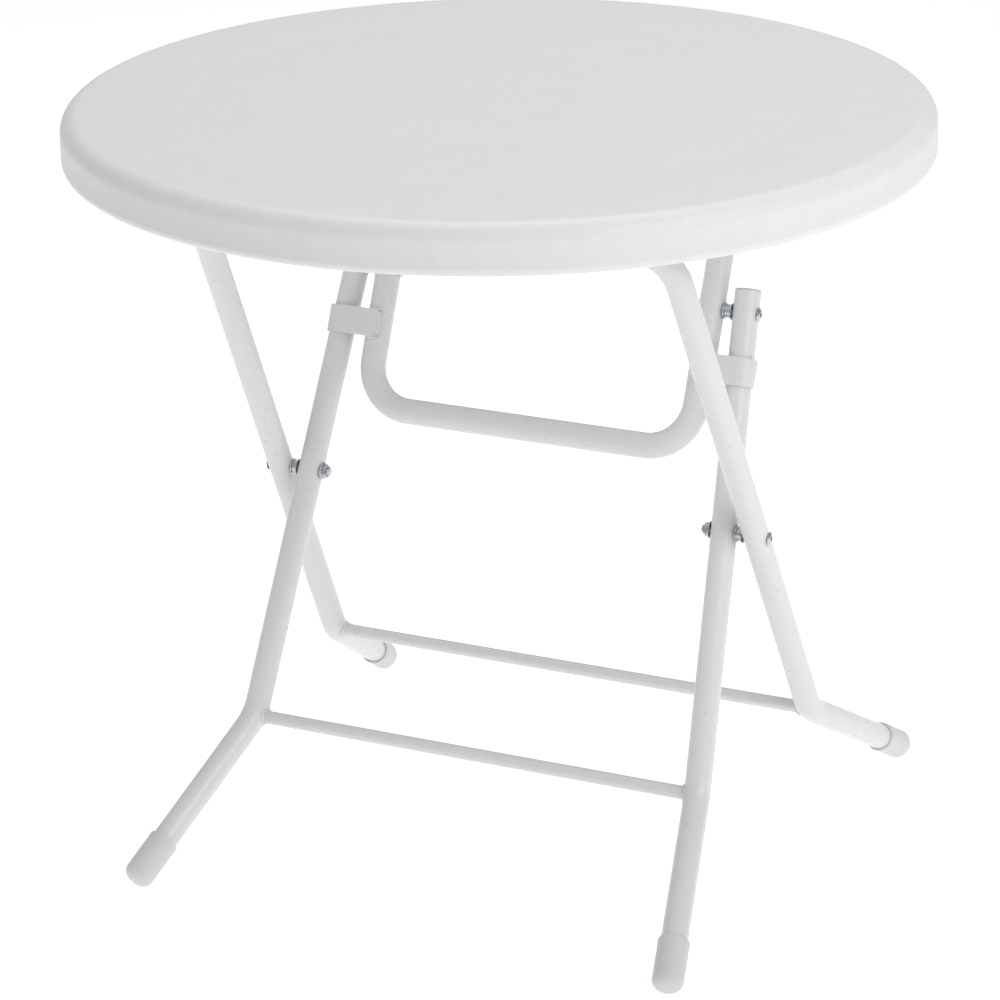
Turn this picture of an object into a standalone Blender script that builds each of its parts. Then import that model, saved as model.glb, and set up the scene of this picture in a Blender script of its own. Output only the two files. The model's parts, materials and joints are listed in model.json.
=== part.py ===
"""Round folding table: a hollow moulded top on a scissor stand of bent steel tube.

Units are metres, +Z is up, and the origin is on the floor under the centre of the top.
The stand is drawn open and locked. Seen from the side, four pivots make the linkage:
the front hinge (top bar in its saddle clips), the scissor pivot, the link pivot
(lock bar on the inner legs) and the rear hinge (lock bar in its brackets).
"""
import math

import bmesh
import bpy
from mathutils import Vector

# Top
TOP_RADIUS = 0.400
TABLE_HEIGHT = 0.740
RIM_HEIGHT = 0.045
EDGE_ROUND = 0.016
LOWER_ROUND = 0.006
SKIN = 0.003
VENT_RADIUS = 0.006
VENT_AT = Vector((0.0, 0.100, 0.0))

# Tube and rod
TUBE = 0.0125
WALL = 0.0013
ROD = 0.0065
SIDES = 16
SMALL_SIDES = 12
GAP = 0.0003
BEND = 0.050
LOCK_BEND = 0.045

# Side-view linkage
HINGE_HEIGHT = 0.672
SCISSOR = Vector((0.0, 0.018, 0.3405))
INNER_LEAN = math.radians(24.8)
OUTER_LEAN = math.radians(28.5)
LINK_REACH = 0.2052
LEG_ABOVE_LINK = 0.021
LOCK_REACH = 0.136
LOCK_ABOVE_HINGE = 0.009

# Half spacings across the table, and how fast the legs spread towards the floor
INNER_X = 0.2168
OUTER_X = 0.2494
LOCK_X = 0.1690
INNER_SPREAD = 0.0643
OUTER_SPREAD = 0.0395

# Feet
INNER_BEND_AT = 0.246
OUTER_BEND_AT = 0.2535
FRONT_TIP = Vector((0.2741, -0.2593, 0.0093))
REAR_TIP = Vector((0.2936, 0.3174, 0.0093))
CAP_RADIUS = 0.0149
CAP_LENGTH = 0.050
CAP_END = 0.012
CAP_ROUND = 0.005
FLOOR_CUT = 0.100

# Fasteners and small plates
BOLT = 0.0040
BOLT_HOLE = 0.0043
HEAD = 0.0075
HEAD_HEIGHT = 0.0050
LOW_HEAD = 0.0065
LOW_HEAD_HEIGHT = 0.0024
NUT = 0.0068
NUT_DEPTH = 0.0058
NUT_FLANGE = 0.0082
NUT_FLANGE_DEPTH = 0.0016
SHANK_PAST_FACE = 0.0085
SPACER = 0.0080
PLUG_FLANGE = 0.0016
PLUG_LENGTH = 0.0150
SHEET = 0.0025
SCREW = 0.0020
SCREW_HEAD = 0.0045
SCREW_HEAD_HEIGHT = 0.0028
SCREW_LENGTH = 0.014
CLIP_X = 0.110
CLIP_WIDTH = 0.030
CLIP_FLANGE = 0.036
CLIP_SCREW_AT = 0.026
BRACKET_LENGTH = 0.064
BRACKET_SCREW_AT = 0.023
EAR_WIDTH = 0.024
EAR_CLEARANCE = 0.0009
PLATE_HEIGHT = 0.027
PLATE_BELOW_LINK = 0.056
PLATE_THICKNESS = 0.002
PLATE_PAST_ARM = 0.0070

UNDERSIDE = TABLE_HEIGHT - RIM_HEIGHT
INNER_UP = Vector((0.0, math.sin(INNER_LEAN), math.cos(INNER_LEAN)))
INNER_FRONT = Vector((0.0, -math.cos(INNER_LEAN), math.sin(INNER_LEAN)))
OUTER_UP = Vector((0.0, -math.sin(OUTER_LEAN), math.cos(OUTER_LEAN)))
RISE = HINGE_HEIGHT - SCISSOR.z
FRONT_HINGE_AT = RISE / math.cos(OUTER_LEAN)
REAR_HINGE_AT = RISE / math.cos(INNER_LEAN)
FRONT_HINGE = SCISSOR + OUTER_UP * FRONT_HINGE_AT
REAR_HINGE = SCISSOR + INNER_UP * REAR_HINGE_AT
LINK = SCISSOR + INNER_UP * LINK_REACH

FINISHES = {
    "white_moulded_plastic": ((0.80, 0.80, 0.79), 0.45, 0.0),
    "white_powder_coat": ((0.78, 0.78, 0.78), 0.35, 0.0),
    "zinc_plated_steel": ((0.62, 0.63, 0.64), 0.30, 1.0),
    "light_grey_plastic": ((0.62, 0.62, 0.62), 0.50, 0.0),
}
SIDE_NAMES = (("left", -1), ("right", 1))


def clear_scene():
    """Remove every object that is already in the scene."""
    for old in list(bpy.data.objects):
        bpy.data.objects.remove(old, do_unlink=True)


def finish(name):
    """Return the named material, made once."""
    material = bpy.data.materials.get(name)
    if material:
        return material
    colour, roughness, metallic = FINISHES[name]
    material = bpy.data.materials.new(name)
    material.use_nodes = True
    shader = material.node_tree.nodes["Principled BSDF"]
    shader.inputs["Base Color"].default_value = (*colour, 1.0)
    shader.inputs["Roughness"].default_value = roughness
    shader.inputs["Metallic"].default_value = metallic
    return material


def new_object(name, bm, material=None, origin=None):
    """Turn a bmesh into an object, smooth-shaded, with its origin at a given point."""
    bmesh.ops.recalc_face_normals(bm, faces=bm.faces)
    if origin is not None:
        bmesh.ops.translate(bm, verts=bm.verts, vec=-Vector(origin))
    mesh = bpy.data.meshes.new(name)
    bm.to_mesh(mesh)
    bm.free()
    mesh.shade_smooth()
    mesh.set_sharp_from_angle(angle=math.radians(35))
    piece = bpy.data.objects.new(name, mesh)
    bpy.context.collection.objects.link(piece)
    if origin is not None:
        piece.location = origin
    if material:
        mesh.materials.append(finish(material))
    return piece


def mark_cutter(cutter):
    """Leave a cutting shape out of the model."""
    cutter.hide_render = True
    cutter.display_type = "WIRE"
    return cutter


def combine(piece, other, operation):
    """Add an exact Boolean of another shape to a piece, and hide the other shape."""
    modifier = piece.modifiers.new(operation.lower(), "BOOLEAN")
    modifier.operation = operation
    modifier.solver = "EXACT"
    modifier.object = mark_cutter(other)


def side_point(side, half_width, point):
    """Place a side-view point at a signed half width."""
    return Vector((side * half_width, point.y, point.z))


def inner_point(side, along):
    """Return a point on an inner leg's axis, a distance above the scissor pivot."""
    return side_point(side, INNER_X - INNER_SPREAD * along, SCISSOR + INNER_UP * along)


def outer_point(side, along):
    """Return a point on an outer leg's axis, a distance above the scissor pivot."""
    return side_point(side, OUTER_X - OUTER_SPREAD * along, SCISSOR + OUTER_UP * along)


def tip_point(side, tip):
    """Return a foot's tip on one side."""
    return side_point(side, tip.x, tip)


def rounded_path(points, radius, steps=5):
    """Replace each inner corner of a polyline by an arc."""
    path = [points[0]]
    for before, corner, after in zip(points, points[1:], points[2:]):
        back = (before - corner).normalized()
        ahead = (after - corner).normalized()
        half = back.angle(ahead) / 2
        centre = corner + (back + ahead).normalized() * (radius / math.sin(half))
        start = corner + back * (radius / math.tan(half)) - centre
        end = corner + ahead * (radius / math.tan(half)) - centre
        sweep = start.angle(end)
        for step in range(steps + 1):
            t = step / steps
            arm = start * math.sin((1 - t) * sweep) + end * math.sin(t * sweep)
            path.append(centre + arm / math.sin(sweep))
    path.append(points[-1])
    return path


def ring_frames(path):
    """Return a point and two cross directions for each point of a path."""
    frames = []
    tangent = (path[1] - path[0]).normalized()
    across = tangent.orthogonal().normalized()
    for index, point in enumerate(path):
        before = path[max(index - 1, 0)]
        after = path[min(index + 1, len(path) - 1)]
        fresh = (after - before).normalized()
        across = tangent.rotation_difference(fresh) @ across
        tangent = fresh
        frames.append((point, across, tangent.cross(across)))
    return frames


def add_ring(bm, frame, radius, sides):
    """Add one circle of vertices."""
    point, across, up = frame
    ring = []
    for index in range(sides):
        turn = 2 * math.pi * index / sides
        offset = across * math.cos(turn) + up * math.sin(turn)
        ring.append(bm.verts.new(point + offset * radius))
    return ring


def skin_rings(bm, first, second):
    """Join two rings with the same number of vertices."""
    count = len(first)
    for index in range(count):
        follow = (index + 1) % count
        bm.faces.new((first[index], first[follow], second[follow], second[index]))


def tube_mesh(path, radius, inner=0.0, sides=SIDES):
    """Sweep a circle, or an annulus if inner is set, along a path."""
    bm = bmesh.new()
    frames = ring_frames(path)
    outside = [add_ring(bm, frame, radius, sides) for frame in frames]
    for first, second in zip(outside, outside[1:]):
        skin_rings(bm, first, second)
    if inner:
        inside = [add_ring(bm, frame, inner, sides) for frame in frames]
        for first, second in zip(inside, inside[1:]):
            skin_rings(bm, first, second)
        skin_rings(bm, outside[0], inside[0])
        skin_rings(bm, outside[-1], inside[-1])
    else:
        bm.faces.new(outside[0])
        bm.faces.new(outside[-1])
    return bm


def turned_mesh(profile, start, direction, sides=SIDES):
    """Turn a closed profile of (radius, distance) pairs about an axis.

    Points at radius 0 close the shape on the axis; a profile without them is a ring.
    """
    bm = bmesh.new()
    across = direction.orthogonal().normalized()
    up = direction.cross(across)
    rings = []
    for radius, distance in profile:
        point = start + direction * distance
        if radius == 0:
            rings.append([bm.verts.new(point)])
        else:
            rings.append(add_ring(bm, (point, across, up), radius, sides))
    pairs = list(zip(rings, rings[1:]))
    if profile[0][0] > 0:
        pairs.append((rings[-1], rings[0]))
    for first, second in pairs:
        if len(first) == len(second):
            skin_rings(bm, first, second)
            continue
        fan = first if len(first) > 1 else second
        tip = second[0] if len(first) > 1 else first[0]
        for index in range(sides):
            bm.faces.new((fan[index], fan[(index + 1) % sides], tip))
    return bm


def prism_mesh(outline, direction, depth):
    """Extrude a flat closed outline by a depth along a direction."""
    bm = bmesh.new()
    near = [bm.verts.new(point) for point in outline]
    far = [bm.verts.new(point + direction * depth) for point in outline]
    bm.faces.new(near)
    bm.faces.new(far)
    skin_rings(bm, near, far)
    return bm


def arc_points(centre, first, second, radius, start, end, steps):
    """Return points on an arc, between two angles in degrees, in a plane of two directions."""
    points = []
    for step in range(steps + 1):
        turn = math.radians(start + (end - start) * step / steps)
        points.append(centre + (first * math.cos(turn) + second * math.sin(turn)) * radius)
    return points


def drill(piece, centre, direction, radius, length):
    """Cut a round hole through a piece, centred on a point."""
    start = centre - direction * (length / 2)
    cutter = tube_mesh([start, start + direction * length], radius, sides=SMALL_SIDES)
    combine(piece, new_object("cutter_hole", cutter), "DIFFERENCE")


ACROSS = Vector((1.0, 0.0, 0.0))
BACK = Vector((0.0, 1.0, 0.0))
UP = Vector((0.0, 0.0, 1.0))


def quarter(centre_radius, centre_height, radius, start, end, steps):
    """Return (radius, height) pairs on an arc, with angles in degrees."""
    pairs = []
    for step in range(steps + 1):
        turn = math.radians(start + (end - start) * step / steps)
        reach = centre_radius + radius * math.cos(turn)
        pairs.append((reach, centre_height + radius * math.sin(turn)))
    return pairs


def fastener_places():
    """Return the eight screw places under the top, as (name, x, y)."""
    places = []
    for side_name, side in SIDE_NAMES:
        for end_name, end in (("front", -1), ("rear", 1)):
            ending = f"{side_name}_{end_name}"
            clip_y = FRONT_HINGE.y + end * CLIP_SCREW_AT
            bracket_y = REAR_HINGE.y + end * BRACKET_SCREW_AT
            places.append((f"clip_screw_{ending}", side * CLIP_X, clip_y))
            places.append((f"bracket_screw_{ending}", side * LOCK_X, bracket_y))
    return places


def make_tabletop():
    """Hollow moulded top with a rolled rim, a vent and screw holes in its lower skin."""
    segments = 72
    upper = quarter(TOP_RADIUS - EDGE_ROUND, TABLE_HEIGHT - EDGE_ROUND, EDGE_ROUND, 90, 0, 4)
    lower = quarter(TOP_RADIUS - LOWER_ROUND, UNDERSIDE + LOWER_ROUND, LOWER_ROUND, 0, -90, 2)
    outer = [(0, TABLE_HEIGHT), *upper, *lower, (0, UNDERSIDE)]
    top = new_object("tabletop", turned_mesh(outer, Vector(), UP, segments), "white_moulded_plastic")
    inside = EDGE_ROUND - SKIN
    cavity_edge = quarter(TOP_RADIUS - EDGE_ROUND, TABLE_HEIGHT - EDGE_ROUND, inside, 90, 0, 2)
    floor = UNDERSIDE + SKIN
    cavity = [(0, TABLE_HEIGHT - SKIN), *cavity_edge, (TOP_RADIUS - SKIN, floor), (0, floor)]
    combine(top, new_object("cutter_cavity", turned_mesh(cavity, Vector(), UP, segments)), "DIFFERENCE")
    vent = VENT_AT + UP * UNDERSIDE
    drill(top, vent, UP, VENT_RADIUS, 4 * SKIN)
    for _, x, y in fastener_places():
        drill(top, Vector((x, y, UNDERSIDE)), UP, SCREW + GAP, 4 * SKIN)


def make_screws():
    """Pan-head screws that hold the clips and brackets to the lower skin."""
    seat = UNDERSIDE - GAP - SHEET - GAP
    for name, x, y in fastener_places():
        profile = [
            (0, SCREW_HEAD_HEIGHT),
            (SCREW_HEAD * 0.7, SCREW_HEAD_HEIGHT),
            (SCREW_HEAD, SCREW_HEAD_HEIGHT * 0.4),
            (SCREW_HEAD, 0),
            (SCREW, 0),
            (SCREW, -SCREW_LENGTH),
            (0, -SCREW_LENGTH),
        ]
        screw = turned_mesh(profile, Vector((x, y, seat)), -UP, SMALL_SIDES)
        new_object(name, screw, "zinc_plated_steel")


def make_clips():
    """Saddle clips and pads that hold the top bar under the top: the front hinge."""
    bore = TUBE + GAP
    outer = bore + SHEET
    seat = UNDERSIDE - GAP
    for side_name, side in SIDE_NAMES:
        middle = side_point(side, CLIP_X, FRONT_HINGE) - ACROSS * (CLIP_WIDTH / 2)
        rise = UP * (seat - FRONT_HINGE.z)
        upper = middle + rise
        lower = upper - UP * SHEET
        strip = [upper - BACK * CLIP_FLANGE, upper - BACK * bore]
        strip += arc_points(middle, BACK, UP, bore, -180, 0, 8)
        strip += [upper + BACK * bore, upper + BACK * CLIP_FLANGE]
        strip += [lower + BACK * CLIP_FLANGE, lower + BACK * outer]
        strip += arc_points(middle, BACK, UP, outer, 0, -180, 8)
        strip += [lower - BACK * outer, lower - BACK * CLIP_FLANGE]
        clip_mesh = prism_mesh(strip, ACROSS, CLIP_WIDTH)
        clip = new_object(f"saddle_clip_{side_name}", clip_mesh, "zinc_plated_steel", FRONT_HINGE)
        for end in (-1, 1):
            place = Vector((side * CLIP_X, FRONT_HINGE.y + end * CLIP_SCREW_AT, seat))
            drill(clip, place, UP, SCREW + GAP, 4 * SHEET)
        half = bore - 2 * GAP
        start = math.degrees(math.acos(half / bore))
        pad = [upper + BACK * half, upper - BACK * half]
        pad += arc_points(middle, BACK, UP, bore, 180 - start, start, 8)
        pad_mesh = prism_mesh(pad, ACROSS, CLIP_WIDTH)
        new_object(f"saddle_pad_{side_name}", pad_mesh, "light_grey_plastic", FRONT_HINGE)


def make_brackets():
    """Two-eared brackets, pins and nuts that hold the lock bar: the rear hinge."""
    seat = UNDERSIDE - GAP
    ear_at = TUBE + EAR_CLEARANCE
    half_width = ear_at + SHEET
    for side_name, side in SIDE_NAMES:
        hinge = side_point(side, LOCK_X, REAR_HINGE)
        corner = Vector((hinge.x - half_width, hinge.y - BRACKET_LENGTH / 2, seat - SHEET))
        base = [corner, corner + BACK * BRACKET_LENGTH]
        base += [base[1] + ACROSS * 2 * half_width, corner + ACROSS * 2 * half_width]
        base_mesh = prism_mesh(base, UP, SHEET)
        bracket = new_object(f"hinge_bracket_{side_name}", base_mesh, "zinc_plated_steel", REAR_HINGE)
        for ear_side in (-1, 1):
            inner_face = hinge + ACROSS * ear_side * ear_at
            start = inner_face if ear_side > 0 else inner_face - ACROSS * SHEET
            top = UP * (seat - SHEET / 2 - hinge.z)
            ear = arc_points(start, BACK, UP, EAR_WIDTH / 2, -180, 0, 8)
            ear += [start + BACK * (EAR_WIDTH / 2) + top, start - BACK * (EAR_WIDTH / 2) + top]
            combine(bracket, new_object("cutter_ear", prism_mesh(ear, ACROSS, SHEET)), "UNION")
        drill(bracket, hinge, ACROSS, BOLT_HOLE, 4 * half_width)
        for end in (-1, 1):
            place = Vector((hinge.x, REAR_HINGE.y + end * BRACKET_SCREW_AT, seat))
            drill(bracket, place, UP, SCREW + GAP, 4 * SHEET)
        outward = ACROSS * side
        face = half_width + GAP
        make_bolt(f"hinge_pin_{side_name}", hinge - outward * face, outward, 2 * face + SHANK_PAST_FACE)
        make_nut(f"hinge_nut_{side_name}", hinge + outward * face, outward)


def make_bolt(name, under_head, direction, shank, head=HEAD, height=HEAD_HEIGHT):
    """Button-head bolt: the head lies behind the point and the shank runs ahead of it."""
    profile = [
        (0, -height),
        (head * 0.55, -height),
        (head * 0.9, -height * 0.6),
        (head, 0),
        (BOLT, 0),
        (BOLT, shank),
        (0, shank),
    ]
    bolt = turned_mesh(profile, under_head, direction, SMALL_SIDES)
    new_object(name, bolt, "zinc_plated_steel", under_head)


def make_nut(name, seat, direction):
    """Flanged nut around the end of a bolt, which shows past it."""
    bore = BOLT + GAP
    profile = [
        (bore, 0),
        (NUT_FLANGE, 0),
        (NUT_FLANGE, NUT_FLANGE_DEPTH),
        (NUT, NUT_FLANGE_DEPTH),
        (NUT, NUT_DEPTH),
        (bore, NUT_DEPTH),
    ]
    nut = turned_mesh(profile, seat, direction, SMALL_SIDES)
    new_object(name, nut, "zinc_plated_steel", seat)


def make_spacer(name, start, direction, length):
    """Turned sleeve around a bolt, between two tubes."""
    profile = [(BOLT + GAP, 0), (SPACER, 0), (SPACER, length), (BOLT + GAP, length)]
    spacer = turned_mesh(profile, start, direction, SMALL_SIDES)
    new_object(name, spacer, "zinc_plated_steel", start)


def make_outer_frame():
    """One bent tube: rear feet, outer legs and the top bar, with a rod across its bends."""
    corners = []
    for side in (-1, 1):
        foot = tip_point(side, REAR_TIP)
        bend = outer_point(side, -OUTER_BEND_AT)
        foot += (bend - foot).normalized() * CAP_END
        chain = [foot, bend, outer_point(side, FRONT_HINGE_AT)]
        corners += chain if side < 0 else chain[::-1]
    tube = tube_mesh(rounded_path(corners, BEND), TUBE, TUBE - WALL)
    frame = new_object("outer_frame", tube, "white_powder_coat", SCISSOR)
    for side in (-1, 1):
        drill(frame, outer_point(side, 0), ACROSS, BOLT_HOLE, 4 * TUBE)
    make_spreader("rear_spreader", outer_point(-1, -OUTER_BEND_AT), outer_point(1, -OUTER_BEND_AT))


def make_spreader(name, left, right):
    """Rod between two legs, its ends just short of the tubes."""
    inset = ACROSS * (TUBE + 4 * GAP)
    rod = tube_mesh([left + inset, right - inset], ROD, sides=SMALL_SIDES)
    new_object(name, rod, "white_powder_coat", left)


def make_inner_legs():
    """Two bent tubes with plugged upper ends, and the rod across their bends."""
    for side_name, side in SIDE_NAMES:
        foot = tip_point(side, FRONT_TIP)
        bend = inner_point(side, -INNER_BEND_AT)
        foot += (bend - foot).normalized() * CAP_END
        top = inner_point(side, LINK_REACH + LEG_ABOVE_LINK)
        tube = tube_mesh(rounded_path([foot, bend, top], BEND), TUBE, TUBE - WALL)
        leg = new_object(f"inner_leg_{side_name}", tube, "white_powder_coat", SCISSOR)
        for along in (0, LINK_REACH):
            drill(leg, inner_point(side, along), ACROSS, BOLT_HOLE, 4 * TUBE)
        make_plug(f"leg_plug_{side_name}", top, (top - bend).normalized())
    make_spreader("front_spreader", inner_point(-1, -INNER_BEND_AT), inner_point(1, -INNER_BEND_AT))


def make_plug(name, end, direction):
    """Moulded plug pushed into the end of a tube, with a flange that covers its wall."""
    stem = TUBE - WALL - GAP
    flange = TUBE - GAP
    profile = [
        (0, PLUG_FLANGE),
        (flange * 0.9, PLUG_FLANGE),
        (flange, PLUG_FLANGE * 0.6),
        (flange, GAP),
        (stem, GAP),
        (stem, -PLUG_LENGTH),
        (0, -PLUG_LENGTH),
    ]
    new_object(name, turned_mesh(profile, end, direction), "light_grey_plastic", end)


def make_lock_bar():
    """U-shaped tube between the rear hinge and the link pivot, with its lock plates."""
    top = REAR_HINGE + INNER_UP * LOCK_ABOVE_HINGE
    low = LINK - INNER_UP * LOCK_REACH
    corners = [side_point(-1, LOCK_X, top), side_point(-1, LOCK_X, low)]
    corners += [side_point(1, LOCK_X, low), side_point(1, LOCK_X, top)]
    tube = tube_mesh(rounded_path(corners, LOCK_BEND, 6), TUBE, TUBE - WALL)
    bar = new_object("lock_bar", tube, "white_powder_coat", REAR_HINGE)
    for side_name, side in SIDE_NAMES:
        drill(bar, side_point(side, LOCK_X, REAR_HINGE), ACROSS, BOLT_HOLE, 4 * TUBE)
        drill(bar, side_point(side, LOCK_X, LINK), ACROSS, BOLT_HOLE, 4 * TUBE)
        make_lock_plate(f"lock_plate_{side_name}", side)


def make_lock_plate(name, side):
    """Strip on the front of a lock bar arm that hooks over the front of the inner leg."""
    along = LINK_REACH - PLATE_BELOW_LINK
    leg = inner_point(side, along)
    start = leg - INNER_UP * (PLATE_HEIGHT / 2)
    near = TUBE + GAP
    outward = ACROSS * side
    side_room = TUBE + 5 * GAP
    inner_end = side_point(side, LOCK_X - PLATE_PAST_ARM, start)
    steps = 6
    faces = []
    for thickness in (0, PLATE_THICKNESS):
        height = INNER_FRONT * (near + thickness)
        face = [inner_end + height]
        for step in range(steps + 1):
            turn = math.radians(90 - 90 * step / steps)
            across = outward * ((side_room + thickness) * math.cos(turn))
            face.append(start + across + height * math.sin(turn))
        faces.append(face)
    plate = prism_mesh(faces[0] + faces[1][::-1], INNER_UP, PLATE_HEIGHT)
    new_object(name, plate, "white_powder_coat", REAR_HINGE)


def make_scissor_pivots():
    """Low-headed bolt from the outside, spacer and nut through each pair of crossing legs."""
    face = TUBE + 2 * GAP
    for side_name, side in SIDE_NAMES:
        outward = ACROSS * side
        nut_at = inner_point(side, 0) - outward * face
        spacer_at = inner_point(side, 0) + outward * face
        head_at = outer_point(side, 0) + outward * face
        shank = (head_at - nut_at).length + SHANK_PAST_FACE
        make_bolt(f"scissor_bolt_{side_name}", head_at, -outward, shank, LOW_HEAD, LOW_HEAD_HEIGHT)
        make_spacer(f"scissor_spacer_{side_name}", spacer_at, outward, OUTER_X - INNER_X - 2 * face)
        make_nut(f"scissor_nut_{side_name}", nut_at, -outward)


def make_link_pivots():
    """Bolt in each lock bar arm, and the low-headed stud and spacer in the leg beside it."""
    face = TUBE + 2 * GAP
    for side_name, side in SIDE_NAMES:
        outward = ACROSS * side
        arm = side_point(side, LOCK_X, LINK)
        leg = inner_point(side, LINK_REACH)
        make_bolt(f"link_bolt_{side_name}", arm - outward * face, outward, 2 * TUBE + 2 * GAP)
        start = arm + outward * (TUBE + 3 * GAP)
        room = abs(leg.x) - face - abs(start.x)
        make_spacer(f"link_spacer_{side_name}", start, outward, room)
        head_at = leg + outward * face
        stud = (head_at - start).length
        make_bolt(f"link_stud_{side_name}", head_at, -outward, stud, LOW_HEAD, LOW_HEAD_HEIGHT)


def make_foot_caps():
    """Four moulded caps over the tube ends, cut flat where they stand on the floor."""
    for side_name, side in SIDE_NAMES:
        front_bend = inner_point(side, -INNER_BEND_AT)
        rear_bend = outer_point(side, -OUTER_BEND_AT)
        make_foot_cap(f"foot_cap_front_{side_name}", tip_point(side, FRONT_TIP), front_bend)
        make_foot_cap(f"foot_cap_rear_{side_name}", tip_point(side, REAR_TIP), rear_bend)


def make_foot_cap(name, end, bend):
    """Cap with a rounded closed end, over the end of a leg that comes down from its bend."""
    direction = (end - bend).normalized()
    bore = TUBE + GAP
    floor = -CAP_END + GAP
    profile = [(0, 0), *quarter(CAP_RADIUS - CAP_ROUND, -CAP_ROUND, CAP_ROUND, 90, 0, 3)]
    profile += [(CAP_RADIUS, -CAP_LENGTH), (bore, -CAP_LENGTH), (bore, floor), (0, floor)]
    cap = new_object(name, turned_mesh(profile, end, direction), "light_grey_plastic", end)
    half = FLOOR_CUT / 2
    corner = Vector((end.x - half, end.y - half, -half))
    along = ACROSS * FLOOR_CUT
    back = BACK * FLOOR_CUT
    floor_block = prism_mesh([corner, corner + along, corner + along + back, corner + back], UP, half)
    combine(cap, new_object("cutter_floor", floor_block), "DIFFERENCE")


clear_scene()
make_tabletop()
make_screws()
make_clips()
make_brackets()
make_outer_frame()
make_inner_legs()
make_lock_bar()
make_scissor_pivots()
make_link_pivots()
make_foot_caps()
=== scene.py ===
"""Looks for a round folding table with a moulded top on a stand of powder-coated tube.

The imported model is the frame: metres, +Z up, origin on the floor under the centre of the
top. Each operator builds one piece, or a group of like pieces, in the place of its plain
solids, and gives it a procedural finish. Seen from the side, four pivots make the linkage:
the front hinge, the scissor pivot, the link pivot and the rear hinge.
"""

import json
import math

import bmesh
import bpy
from bpy.props import FloatProperty, FloatVectorProperty, PointerProperty
from mathutils import Matrix, Vector, noise


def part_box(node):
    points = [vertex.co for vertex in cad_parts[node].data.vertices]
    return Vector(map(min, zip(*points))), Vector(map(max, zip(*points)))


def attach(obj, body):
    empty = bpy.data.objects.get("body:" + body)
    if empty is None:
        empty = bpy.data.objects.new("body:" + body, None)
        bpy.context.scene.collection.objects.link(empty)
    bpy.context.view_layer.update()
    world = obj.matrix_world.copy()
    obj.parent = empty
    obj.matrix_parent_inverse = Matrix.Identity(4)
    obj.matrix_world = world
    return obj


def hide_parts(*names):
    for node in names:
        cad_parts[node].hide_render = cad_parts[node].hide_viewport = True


bl_info = {
    "name": "Round Folding Table",
    "version": (1, 0, 0),
    "blender": (4, 5, 0),
    "location": "3D View > Sidebar > Folding Table",
    "description": "Builds the fine pieces and finishes of a round folding table on its frame",
    "category": "Object",
}

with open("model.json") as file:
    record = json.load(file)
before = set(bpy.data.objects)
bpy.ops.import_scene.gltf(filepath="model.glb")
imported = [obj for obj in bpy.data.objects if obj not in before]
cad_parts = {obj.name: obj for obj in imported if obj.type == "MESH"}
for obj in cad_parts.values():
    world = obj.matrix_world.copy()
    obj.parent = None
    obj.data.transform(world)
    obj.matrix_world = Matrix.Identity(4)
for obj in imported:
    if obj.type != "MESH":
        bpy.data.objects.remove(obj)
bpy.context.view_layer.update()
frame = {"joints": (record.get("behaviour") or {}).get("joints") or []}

SIDE_NAMES = (("left", -1), ("right", 1))
ACROSS = Vector((1.0, 0.0, 0.0))
BACK = Vector((0.0, 1.0, 0.0))
UP = Vector((0.0, 0.0, 1.0))
GAP = 0.0003
TUBE_SIDES = 64
TURNED_SIDES = 48
TOP_SIDES = 288
CUTTER_SIDES = 28
RING_RADII = (0.0563, 0.1496, 0.2825)
VENT = Vector((0.0, 0.100, 0.0))


# Places read from the frame

def joint_place(name):
    """Return where a joint's axis crosses the plane of symmetry."""
    return next(Vector(joint["pos_m"]) for joint in frame["joints"] if joint["name"] == name)


def node_centre(node):
    """Return the middle of a node's box."""
    low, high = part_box(node)
    return (low + high) / 2


SCISSOR = joint_place("scissor_fold")
FRONT_HINGE = joint_place("front_hinge")
REAR_HINGE = joint_place("rear_hinge")
LINK = Vector((0.0, *node_centre("link_stud_right")[1:]))
TOP_LOW, TOP_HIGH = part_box("tabletop")
UNDERSIDE = TOP_LOW.z
INNER_UP = (LINK - SCISSOR).normalized()
INNER_FRONT = ACROSS.cross(INNER_UP)
OUTER_UP = (FRONT_HINGE - SCISSOR).normalized()
LINK_REACH = (LINK - SCISSOR).length
FRONT_HINGE_AT = (FRONT_HINGE - SCISSOR).length
LOCK_X = node_centre("hinge_bracket_right").x
CLIP_X = node_centre("saddle_clip_right").x


def linear_colour(code):
    """Turn an sRGB hex code into a linear colour."""
    parts = [int(code[start:start + 2], 16) / 255 for start in (1, 3, 5)]
    linear = [part / 12.92 if part <= 0.04045 else ((part + 0.055) / 1.055) ** 2.4 for part in parts]
    return (*linear, 1.0)


def length(name, description, default):
    """Return a length property in metres."""
    return FloatProperty(
        name=name, description=description, default=default, min=0.0, subtype="DISTANCE",
        unit="LENGTH", precision=4,
    )


def colour(name, description, code):
    """Return a colour property."""
    return FloatVectorProperty(
        name=name, description=description, default=linear_colour(code), size=4, min=0.0, max=1.0,
        subtype="COLOR",
    )


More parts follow.
